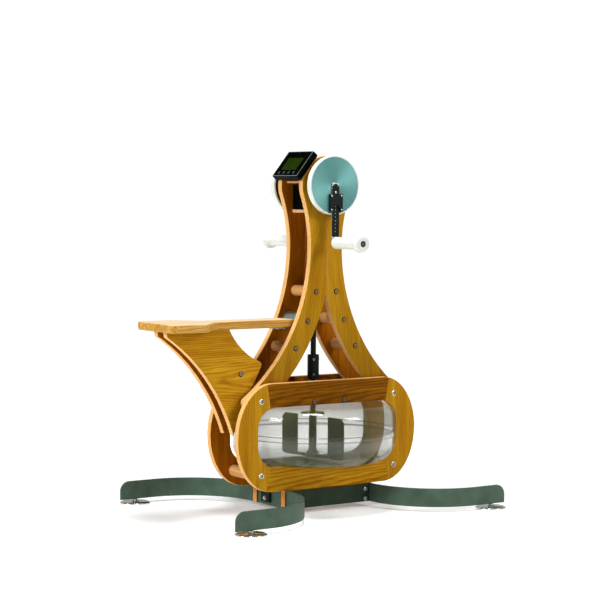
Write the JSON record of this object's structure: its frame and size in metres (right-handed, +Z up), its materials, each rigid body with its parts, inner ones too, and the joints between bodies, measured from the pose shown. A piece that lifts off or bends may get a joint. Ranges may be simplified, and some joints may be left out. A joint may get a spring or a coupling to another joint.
{
  "type": "water grinder ergometer",
  "caption": "Hand-crank water trainer: wooden frame round a clear water tank with a paddle, crank drums with sliding arms, tilted console, lift-up bench seat and curved leg bars.",
  "frame": {"origin": "Middle of the whole machine's box on the floor, on the middle plane between the two side frames.", "axes": "+Z up; +X fore and aft, away from the seat, whose bench points to -X; +Y across, along the crank axle, with the pictured near side at -Y. The crank axle crosses X = 0.040."},
  "size_m": [1.128, 0.804, 1.1654],
  "materials": {
    "oak": "satin oiled oak, open grain",
    "dark_oak": "oiled oak in shade",
    "light_wood": "satin turned hardwood",
    "grey_steel": "satin grey-green coating",
    "bright_steel": "brushed",
    "chrome": "polished",
    "clear_tank": "clear, glossy",
    "black_plastic": "satin black",
    "display": "glossy display window",
    "button_grey": "satin dark grey",
    "white_plastic": "satin white",
    "black_steel": "satin black coating",
    "paddle_grey": "satin dark grey-green"
  },
  "bodies": {
    "frame": {"near_front_bow": "oak", "near_rear_bow": "oak", "far_front_bow": "oak", "far_rear_bow": "oak", "near_tank_panel": "oak", "far_tank_panel": "oak", "near_base_rail": "oak", "far_base_rail": "oak", "tank_hanger": "dark_oak", "gearbox_board": "dark_oak", "neck_rung_front": "light_wood", "neck_rung_rear": "light_wood", "middle_rung_rear": "light_wood", "lower_rung_front": "light_wood", "lower_rung_rear": "light_wood", "tank_rung_top_front": "light_wood", "tank_rung_top_rear": "light_wood", "tank_rung_low_front": "light_wood", "tank_rung_low_rear": "light_wood", "console_board": "light_wood", "front_leg_bar": "grey_steel", "rear_leg_bar": "grey_steel", "near_side_plate": "grey_steel", "far_side_plate": "grey_steel", "seat_tube": "bright_steel", "tank_upper_shell": "clear_tank", "tank_lower_shell": "clear_tank", "tank_top_bearing": "black_plastic", "gearbox_housing": "black_plastic", "console_housing": "black_plastic", "console_lens": "display", "near_axle_bearing": "black_steel", "far_axle_bearing": "black_steel"},
    "crank": {"crank_axle": "bright_steel", "near_drum": "white_plastic", "far_drum": "white_plastic", "near_clamp": "black_steel", "far_clamp": "black_steel", "bevel_wheel": "black_steel"},
    "near_crank_arm": {"near_arm": "black_steel"},
    "far_crank_arm": {"far_arm": "black_steel"},
    "near_handgrip": {"near_grip": "white_plastic"},
    "far_handgrip": {"far_grip": "white_plastic"},
    "paddle_shaft": {"drive_shaft": "black_steel", "shaft_coupling": "black_steel", "bevel_pinion": "black_steel", "paddle": "paddle_grey"},
    "seat": {"seat_board": "oak", "near_seat_bracket": "oak", "far_seat_bracket": "oak", "seat_spacer": "light_wood", "seat_hook": "bright_steel"},
    "key_1": {"button_1": "button_grey"},
    "key_2": {"button_2": "button_grey"},
    "key_3": {"button_3": "button_grey"},
    "key_4": {"button_4": "button_grey"},
    "near_front_levelling_foot": {"near_front_foot": "chrome"},
    "near_rear_levelling_foot": {"near_rear_foot": "chrome"},
    "far_front_levelling_foot": {"far_front_foot": "chrome"},
    "far_rear_levelling_foot": {"far_rear_foot": "chrome"}
  },
  "joints": [
    {"name": "crank_turn", "type": "hinge", "parent": "frame", "child": "crank", "pos_m": [0.04, 0, 1.055], "axis": [0, 1, 0], "continuous": true},
    {"name": "near_arm_slide", "type": "slide", "parent": "crank", "child": "near_crank_arm", "axis": [0, 0, 1], "range_m": [-0.024, 0.072]},
    {"name": "far_arm_slide", "type": "slide", "parent": "crank", "child": "far_crank_arm", "axis": [0, 0, 1], "range_m": [-0.024, 0.072]},
    {"name": "near_grip_turn", "type": "hinge", "parent": "near_crank_arm", "child": "near_handgrip", "pos_m": [0.04, -0.2, 0.87], "axis": [0, 1, 0], "continuous": true},
    {"name": "far_grip_turn", "type": "hinge", "parent": "far_crank_arm", "child": "far_handgrip", "pos_m": [0.04, 0.2, 0.87], "axis": [0, 1, 0], "continuous": true},
    {"name": "paddle_turn", "type": "hinge", "parent": "frame", "child": "paddle_shaft", "pos_m": [0.04, 0, 0.461], "axis": [0, 0, 1], "continuous": true},
    {"name": "seat_lift", "type": "hinge", "parent": "frame", "child": "seat", "pos_m": [-0.032, 0, 0.6175], "axis": [0, 1, 0], "range_deg": [0, 60]},
    {"name": "key_1_press", "type": "slide", "parent": "frame", "child": "key_1", "axis": [0.7727, 0, -0.6347], "range_m": [0, 0.0012], "stiffness_N_per_m": 600},
    {"name": "key_2_press", "type": "slide", "parent": "frame", "child": "key_2", "axis": [0.7727, 0, -0.6347], "range_m": [0, 0.0012], "stiffness_N_per_m": 600},
    {"name": "key_3_press", "type": "slide", "parent": "frame", "child": "key_3", "axis": [0.7727, 0, -0.6347], "range_m": [0, 0.0012], "stiffness_N_per_m": 600},
    {"name": "key_4_press", "type": "slide", "parent": "frame", "child": "key_4", "axis": [0.7727, 0, -0.6347], "range_m": [0, 0.0012], "stiffness_N_per_m": 600},
    {"name": "near_front_foot_turn", "type": "hinge", "parent": "frame", "child": "near_front_levelling_foot", "pos_m": [-0.429, -0.352, 0], "axis": [0, 0, 1], "continuous": true},
    {"name": "near_rear_foot_turn", "type": "hinge", "parent": "frame", "child": "near_rear_levelling_foot", "pos_m": [0.509, -0.352, 0], "axis": [0, 0, 1], "continuous": true},
    {"name": "far_front_foot_turn", "type": "hinge", "parent": "frame", "child": "far_front_levelling_foot", "pos_m": [-0.429, 0.352, 0], "axis": [0, 0, 1], "continuous": true},
    {"name": "far_rear_foot_turn", "type": "hinge", "parent": "frame", "child": "far_rear_levelling_foot", "pos_m": [0.509, 0.352, 0], "axis": [0, 0, 1], "continuous": true}
  ],
  "couplings": [
    {"joint": "paddle_turn", "follows": "crank_turn", "ratio": 1.5}
  ]
}
